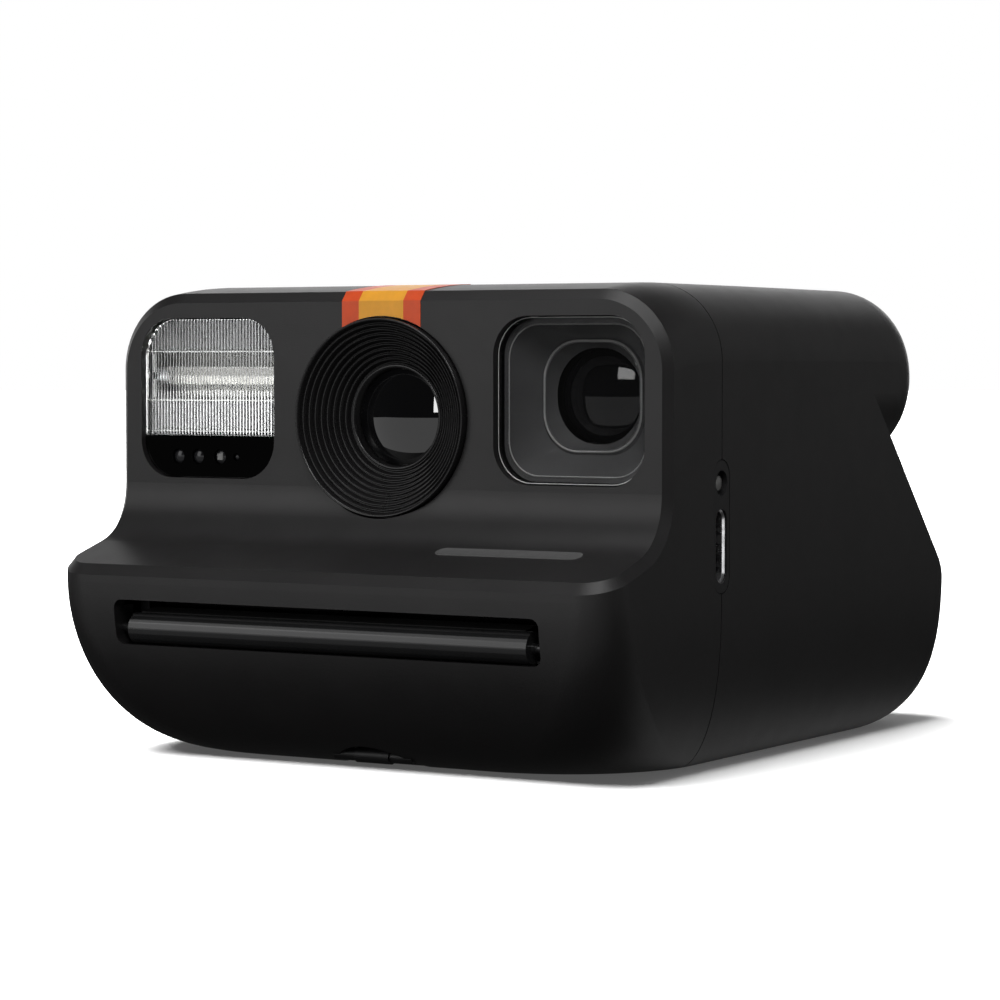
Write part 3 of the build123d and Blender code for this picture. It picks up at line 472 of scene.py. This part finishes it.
def flash_apron():
    """Grey moulded plate behind the pane, with upright ribs above and below the trough."""
    x0, x1, pitch, steps = TROUGH_X0, TROUGH_X1, 0.62, 4
    count = int((x1 - x0) / pitch) * steps + 1
    for name, z0, z1 in (("upper", 53.3, 57.2), ("lower", 42.7, 46.4)):
        points, faces = [], []
        for i in range(count):
            x = x0 + (x1 - x0) * i / (count - 1)
            y = -34.7 - 0.22 * abs(sin(pi * i / steps))
            points += [(x, y, z0), (x, y, z1), (x, -34.0, z1), (x, -34.0, z0)]
        for i in range(count - 1):
            for j in range(4):
                n = (j + 1) % 4
                faces.append((i * 4 + j, i * 4 + n, i * 4 + 4 + n, i * 4 + 4 + j))
        faces.append((0, 1, 2, 3))
        faces.append(tuple((count - 1) * 4 + j for j in range(4)))
        made = add_piece("flash_apron_" + name, mesh_from("flash_apron_" + name, points, faces),
                         "flash_apron", smooth=35)


def flash_trough():
    """Bright reflector: a curved trough with a raised lip along each edge."""
    x0, x1 = TROUGH_X0, TROUGH_X1
    outline = [(-33.9, 53.5), (-34.85, 53.4)]
    outline += arc((-34.95, 53.1), 0.24, 60, 270, 6)
    for k in range(25):
        t = -1 + 2 * k / 24
        depth = TROUGH_DEPTH * (1 - t * t) ** 0.9
        outline.append((TROUGH_MOUTH_Y + depth, TUBE_Z - TROUGH_HALF * t))
    outline += arc((-34.95, 46.6), 0.24, 90, 300, 6)
    outline += [(-33.9, 46.2), (-29.6, 48.0), (-29.6, 51.7)]
    rings = [[(x, y, z) for y, z in outline] for x in (x0, x1)]
    trough = lofted("flash_trough", rings)
    add_piece("flash_trough", trough, "flash_metal", replaces=["flash_reflector"], smooth=40)
    lip = arc((-35.0, 42.45), 0.2, 0, 360, 12)[:-1]
    rings = [[(x, y, z) for y, z in lip] for x in (x0, x1)]
    add_piece("flash_sill", lofted("flash_sill", rings), "flash_metal", smooth=50)


def flash_ends():
    """Pale end walls of the trough, shaped to its curve and slotted for the tube."""
    for side, x in (("left", -38.0), ("right", -17.6)):
        outline = [(-35.0, 52.8)]
        for k in range(1, 12):
            t = -1 + 2 * k / 12
            depth = (TROUGH_DEPTH - 0.1) * (1 - t * t) ** 0.9
            outline.append((TROUGH_MOUTH_Y + depth, TUBE_Z - (TROUGH_HALF - 0.1) * t))
        outline += [(-35.0, 46.9), (-35.0, 49.4), (-33.4, 49.4), (-33.4, 50.3), (-35.0, 50.3)]
        rings = [[(x + dx, y, z) for y, z in outline] for dx in (0.0, 0.4)]
        add_piece("flash_end_" + side, lofted("flash_end_" + side, rings), "flash_metal")


def flash_lamp():
    """Glass tube with a metal cap at each end."""
    at = (TUBE_Y, TUBE_Z)
    profile = [(0.0, -36.9), (1.0, -36.9), (1.2, -36.7), (1.2, -18.6), (1.0, -18.4), (0.0, -18.4)]
    tube = turned("flash_tube_glass", profile, at, axis="X", segments=40, closed=False)
    add_piece("flash_tube_glass", tube, "tube_glass", replaces=["flash_tube"])
    for side, x in (("left", -37.5), ("right", -18.5)):
        cap = [(0.0, x), (1.3, x), (1.3, x + 1.5), (0.0, x + 1.5)]
        add_piece("flash_cap_" + side, turned("flash_cap_" + side, cap, at, "X", 40, False), "steel")


def sensors():
    """Small domed sensors in the dark bar, with a square chip showing in the third."""
    for k, (x, r) in enumerate(SENSOR_SPOTS):
        name = "sensor_%d" % (k + 1)
        dome = turned(name, dome_profile(r - 0.06, FACE_Y + 0.85, FACE_Y + 1.15, FACE_Y + 2.6, 8),
                      (x, SENSOR_Z), segments=32, closed=False)
        add_piece(name, dome, "sensor_lens", replaces=["sensor_lenses"] if k == 0 else ())
    x = SENSOR_SPOTS[2][0]
    chip = rounded_outline(x - 0.42, x + 0.42, SENSOR_Z - 0.42, SENSOR_Z + 0.42, 0.1, 3)
    rings = [[(cx, y, cz) for cx, cz in chip] for y in (FACE_Y + 0.80, FACE_Y + 0.95)]
    add_piece("sensor_chip", lofted("sensor_chip", rings), "light_pipe")


# ---- viewfinder --------------------------------------------------------------------------------

def finder_pane():
    """Clear cover with softened front edges, open to the viewfinder."""
    x0, x1, z0, z1 = WIN_X0 + FIT, WIN_X1 - FIT, WIN_Z0 + FIT, WIN_Z1 - FIT
    r = WIN_R - FIT
    rings = []
    edges = ((PANE_FRONT, -0.18), (PANE_FRONT + 0.06, -0.05), (PANE_FRONT + 0.18, 0.0),
             (PANE_BACK - 0.15, 0.0), (PANE_BACK, -0.12))
    for y, grow in edges:
        outline = rounded_outline(x0 - grow, x1 + grow, z0 - grow, z1 + grow, r + grow)
        rings.append([(x, y, z) for x, z in outline])
    pane = add_piece("finder_pane", lofted("finder_pane", rings), "thin_pane",
                     replaces=["viewfinder_window"], smooth=35)
    pane.visible_shadow = False
    return pane


def finder_funnel():
    """Smoky moulded frame that narrows from the window to a raised ring round the lens."""
    shape = (  # y, half width, half height, corner radius, height of the middle
        (-35.4, 10.55, 10.25, 4.7, FUNNEL_Z),
        (-35.4, 9.9, 9.6, 4.4, FUNNEL_Z),
        (-34.6, 9.7, 9.4, 4.4, FUNNEL_Z),
        (-31.2, 7.3, 7.3, 4.9, FINDER_Z - 0.1),
        (-31.5, 7.1, 7.1, 4.9, FINDER_Z),
        (-31.5, 6.75, 6.75, 4.9, FINDER_Z),
        (-30.6, 6.5, 6.5, 5.2, FINDER_Z),
        (-29.7, 6.1, 6.1, 5.8, FINDER_Z),
        (-29.6, 10.0, 9.6, 4.7, FUNNEL_Z),
    )
    rings = []
    for y, w, h, r, middle in shape:
        outline = rounded_outline(FINDER_X - w, FINDER_X + w, middle - h, middle + h, r)
        rings.append([(x, y, z) for x, z in outline])
    rings.append(rings[0])
    mesh = lofted("finder_funnel", rings, False, False)
    return add_piece("finder_funnel", mesh, "funnel_grey", replaces=["viewfinder_funnel"], smooth=40)


def finder_bead(name, y, half_w, half_h, r, z, thick):
    """Fine moulded edge round the funnel at one depth, near-white in colour: the pale colour is a painted
    highlight along the edge.
    """
    rings = []
    for dy, grow in ((-thick, 0.0), (0.0, thick), (thick, 0.0), (0.0, -thick)):
        w, h = half_w + grow, half_h + grow
        outline = rounded_outline(FINDER_X - w, FINDER_X + w, z - h, z + h, r + grow)
        rings.append([(x, y + dy, z_at) for x, z_at in outline])
    rings.append(rings[0])
    bead = add_piece(name, lofted(name, rings, False, False), "pale_edge_highlight", smooth=60)


def finder_tunnel():
    """Dark duct from behind the front lens to the eyepiece."""
    rings = []
    ends = ((-29.4, 18.7, 36.8, 39.8, 56.5), (35.5, 20.8, 34.4, 43.4, 55.6))
    for wall, order in ((0.0, ends), (0.8, ends[::-1])):
        for y, x0, x1, z0, z1 in order:
            left, right, low, high = x0 + wall, x1 - wall, z0 + wall, z1 - wall
            rings.append([(left, y, low), (right, y, low), (right, y, high), (left, y, high)])
    rings.append(rings[0])
    tunnel = lofted("finder_tunnel", rings, False, False)
    return add_piece("finder_tunnel", tunnel, "trim_black", replaces=["viewfinder_tunnel"])


# ---- film slot ---------------------------------------------------------------------------------

def shield_roll():
    """Dark film shield wound on itself, with the step of its loose edge along the top."""
    turn, steps = 2 * pi, 72
    outline = []
    for k in range(steps + 1):
        a = radians(118) + turn * k / steps
        r = SHIELD_R - 0.16 + 0.16 * k / steps
        outline.append((SHIELD_Y + r * cos(a), SHIELD_Z + r * sin(a)))
    rings = [[(x, y, z) for y, z in outline] for x in (-30.0, -29.9, 29.9, 30.0)]
    mesh = lofted("shield_roll", rings)
    return add_piece("shield_roll", mesh, "shield", replaces=["film_shield_roll"], smooth=30)


def shield_tongue():
    """Start of the shield, a thin sheet that runs from the roll back towards the rollers."""
    line = [(-50.3, 19.16), (-49.4, 19.3), (-48.4, 19.55), (-47.4, 19.6), (-46.5, 19.5)]
    outline = line + [(y, z + 0.1) for y, z in reversed(line)]
    rings = [[(x, y, z) for y, z in outline] for x in (-29.0, 29.0)]
    tongue = add_piece("shield_tongue", lofted("shield_tongue", rings), "chamber_black")
    return tongue


# ---- charging socket ---------------------------------------------------------------------------

def socket_shell():
    """Bright oval sleeve of the charging socket with a bevelled lip, closed at its far end."""
    rings = []
    for x, grow in ((-7.7, 0.0), (-0.4, 0.0), (-0.35, -0.05), (-0.48, -0.2), (-0.6, -0.3), (-7.3, -0.35)):
        half_w, half_h = USB_W / 2 + grow, USB_H / 2 + grow
        outline = rounded_outline(SEAM_Y - half_w, SEAM_Y + half_w, USB_Z - half_h, USB_Z + half_h,
                                  half_w - 0.01)
        rings.append([(SIDE_X + x, y, z) for y, z in outline])
    add_piece("socket_shell", lofted("socket_shell", rings), "steel", replaces=["usb_socket"])
    blade = rounded_outline(SEAM_Y - 0.35, SEAM_Y + 0.35, USB_Z - 3.35, USB_Z + 3.35, 0.1, 3)
    rings = [[(x, y, z) for y, z in blade] for x in (SIDE_X - 7.35, SIDE_X - 1.6)]
    tongue = add_piece("socket_tongue", lofted("socket_tongue", rings), "trim_black")


def status_lamp():
    """Milky end of the light pipe, slightly domed, in its round recess."""
    profile = [(0.0, SIDE_X - 0.38), (0.5, SIDE_X - 0.41), (0.9, SIDE_X - 0.5), (1.04, SIDE_X - 0.66),
               (1.04, SIDE_X - 5.9), (0.0, SIDE_X - 6.0)]
    lamp = turned("status_lamp", profile, (SEAM_Y, LIGHT_Z), "X", 40, False)
    return add_piece("status_lamp", lamp, "light_pipe", replaces=["light_pipe"])


# ---- springs -----------------------------------------------------------------------------------

def sprung(node):
    """Copy of a coil spring, fixed to the camera body in place of its CAD node."""
    source = nodes[node]
    mesh = source.data.copy()
    mesh.transform(source.matrix_world)
    coil = bpy.data.objects.new(node + "_coil", mesh)
    bpy.context.scene.collection.objects.link(coil)
    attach(coil, BODY)
    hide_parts(node)
    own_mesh(coil)


def springs():
    for button in ("shutter_button", "flash_button", "power_button"):
        sprung(button + "_spring")
    sprung("pick_spring")
    sprung("latch_spring")


# ---- light, floor and camera -------------------------------------------------------------------

def area_light(name, at, aim, size, radiance):
    """Soft box with a given brightness, seen in reflections but not by the camera."""
    lamp = bpy.data.lights.new(name, "AREA")
    lamp.shape = "RECTANGLE"
    lamp.size, lamp.size_y = size[0] * MM, size[1] * MM
    lamp.energy = radiance * pi * lamp.size * lamp.size_y
    holder = bpy.data.objects.new(name, lamp)
    bpy.context.scene.collection.objects.link(holder)
    holder.location = Vector(at) * MM
    toward = (Vector(aim) - Vector(at)).normalized()
    holder.rotation_euler = toward.to_track_quat("-Z", "Y").to_euler()
    holder.visible_camera = False
    return holder


def link_light(lamp, group_name, receivers):
    """Lets a lamp light only the given objects; lamps that share a group name share its objects."""
    group = bpy.data.collections.get(group_name)
    if group is None:
        group = bpy.data.collections.new(group_name)
        for piece in receivers:
            group.objects.link(piece)
    lamp.light_linking.receiver_collection = group


def stage_mesh(name, points, faces, mat):
    """Part of the studio, which reflections and bounced light leave out."""
    mesh = mesh_from(name, points, faces)
    mesh.transform(Matrix.Scale(MM, 4))
    mesh.materials.append(mat)
    made = bpy.data.objects.new(name, mesh)
    bpy.context.scene.collection.objects.link(made)
    made.visible_glossy = False
    made.visible_diffuse = False
    return made


def paper_floor():
    """White sheet that the camera stands on."""
    paper = Shader("floor_paper", (0.9, 0.9, 0.9), 0.9)
    paper.vary_color(paper.noise(8, 2), 0.01)
    paper.set("Emission Color", (1, 1, 1, 1))
    paper.set("Emission Strength", 0.08)
    reach = FLOOR_REACH
    corners = [(-reach, -reach, 0), (reach, -reach, 0), (reach, reach, 0), (-reach, reach, 0)]
    return stage_mesh("floor", corners, [(0, 1, 2, 3)], paper.mat)


def white_backdrop():
    """Glowing drum round the studio, with a lid."""
    glow = Shader("backdrop_white", (0.0, 0.0, 0.0), 1.0)
    glow.set("Emission Color", (1, 1, 1, 1))
    glow.set("Emission Strength", 1.0)
    points, faces, count = [], [], 48
    for k in range(count):
        a = 2 * pi * k / count
        x, y = DRUM_R * cos(a), DRUM_R * sin(a)
        points += [(x, y, -50), (x, y, DRUM_TOP)]
        n = (k + 1) % count
        faces.append((2 * k, 2 * n, 2 * n + 1, 2 * k + 1))
    faces.append(tuple(2 * k + 1 for k in range(count)))
    backdrop = stage_mesh("backdrop", points, faces, glow.mat)
    backdrop.visible_shadow = False
    return backdrop


def dim_world():
    """Faint even light from all round, with plain colour handling."""
    world = bpy.data.worlds.new("studio")
    world.use_nodes = True
    world.node_tree.nodes["Background"].inputs["Color"].default_value = (1, 1, 1, 1)
    world.node_tree.nodes["Background"].inputs["Strength"].default_value = WORLD_GLOW
    bpy.context.scene.world = world
    bpy.context.scene.view_settings.view_transform = "Standard"


def floor_sun(floor):
    """Broad light that brightens the floor alone and leaves a soft contact shadow."""
    sun = bpy.data.lights.new("floor_light", "SUN")
    sun.energy = SUN_POWER
    sun.angle = radians(SUN_SPREAD)
    holder = bpy.data.objects.new("floor_light", sun)
    bpy.context.scene.collection.objects.link(holder)
    holder.rotation_euler = Vector(SUN_TOWARD).to_track_quat("-Z", "Y").to_euler()
    link_light(holder, "floor_only", [floor])


def studio():
    floor = paper_floor()
    backdrop = white_backdrop()
    dim_world()
    floor_sun(floor)
    lamps([floor, backdrop])


def lamps(stage_parts):
    """Soft boxes; lens domes, film roll and socket have lamps of their own for their highlights."""
    shiny = [bpy.data.objects[n] for n in ("lens_dome", "finder_dome")]
    panes = [bpy.data.objects[n] for n in ("finder_pane", "flash_pane", "sensor_window")]
    left_out = shiny + panes + stage_parts
    satin = [o for o in bpy.data.objects if o.type == "MESH" and o not in left_out]
    link_light(area_light("key_soft", (255, -400, 400), (0, -20, 40), (150, 210), 11.0), "matte", satin)
    link_light(area_light("face_soft", (-560, -930, 430), (0, -30, 40), (700, 700), 1.6), "matte", satin)
    lens, finder = [[dome] for dome in shiny]
    link_light(area_light("lens_glint", (270, -880, 265), (0, -20, 40), (110, 300), 14.0), "lens", lens)
    finder_glint = area_light("finder_glint", (110, -490, 415), (28, -30, 47), (240, 340), 12.0)
    link_light(finder_glint, "finder", finder)
    roll = [bpy.data.objects["shield_roll"]]
    link_light(area_light("roll_soft", (-450, -315, 675), (0, -50, 17), (500, 600), 1.0), "roll", roll)
    socket = [bpy.data.objects["socket_shell"]]
    link_light(area_light("socket_glint", (900, -540, 40), (42, -24, 28), (500, 400), 1.3), "socket", socket)
    link_light(area_light("table_card", (0, -850, 1), (0, -850, 500), (3200, 1580), 0.8), "domes", shiny)
    link_light(area_light("left_soft", (-900, 350, 250), (0, 0, 30), (700, 500), 0.6), "matte", satin)
    area_light("side_soft", (560, 930, 330), (0, 0, 40), (900, 700), 0.16)
    link_light(area_light("low_fill", (-100, -900, 40), (0, 0, 20), (1400, 160), 0.75), "matte", satin)
    link_light(area_light("floor_front", (0, -520, 1), (0, -520, 500), (1800, 900), 0.2), "matte", satin)
    link_light(area_light("shelf_soft", (0, -250, 900), (0, -40, 30), (500, 300), 4.0), "matte", satin)
    floor_glow = area_light("floor_glow", (110, 190, -160), (40, 20, 10), (260, 200), 0.24)
    link_light(floor_glow, "matte", satin)
    floor_glow.light_linking.blocker_collection = bpy.data.collections["matte"]
    link_light(area_light("side_fill", (800, 250, 20), (0, 0, 20), (900, 120), 0.45), "matte", satin)
    area_light("back_panel", (-520, 900, 260), (0, 0, 60), (1100, 500), 1.75)
    area_light("top_soft", (0, 60, 900), (0, 0, 30), (800, 800), 0.75)


def viewing_camera():
    """Camera at the place and with the lens that were fitted to the photograph."""
    data = bpy.data.cameras.new("camera_view")
    data.lens = CAMERA_LENS
    data.sensor_width = CAMERA_SENSOR
    data.clip_start, data.clip_end = 0.01, 50.0
    holder = bpy.data.objects.new("camera_view", data)
    bpy.context.scene.collection.objects.link(holder)
    holder.location = Vector(CAMERA_AT) * MM
    holder.rotation_euler = (radians(90 - CAMERA_DOWN), 0, radians(CAMERA_YAW))
    bpy.context.scene.camera = holder


ribbed_ring()
lens_bezel()
lens_inner()
glass_dome("lens_dome", GLASS_R, -34.6, -33.1, -32.3, (0, LENS_Z), "front_lens")
flash_pane()
flash_apron()
flash_trough()
flash_ends()
flash_lamp()
sensors()
finder_pane()
finder_funnel()
finder_bead("finder_front_edge", FACE_Y + 0.95, 10.62, 10.4, 4.8, 46.88, 0.06)
finder_bead("finder_edge", -35.42, 9.85, 9.55, 4.4, 46.9, 0.1)
finder_bead("finder_ring_edge", -31.5, 7.0, 7.0, 4.9, 47.4, 0.14)
finder_tunnel()
glass_dome("finder_dome", 6.0, -30.2, -28.4, -27.0, (FINDER_X, FINDER_Z), "viewfinder_lens")
shield_roll()
shield_tongue()
socket_shell()
status_lamp()
springs()
studio()
viewing_camera()
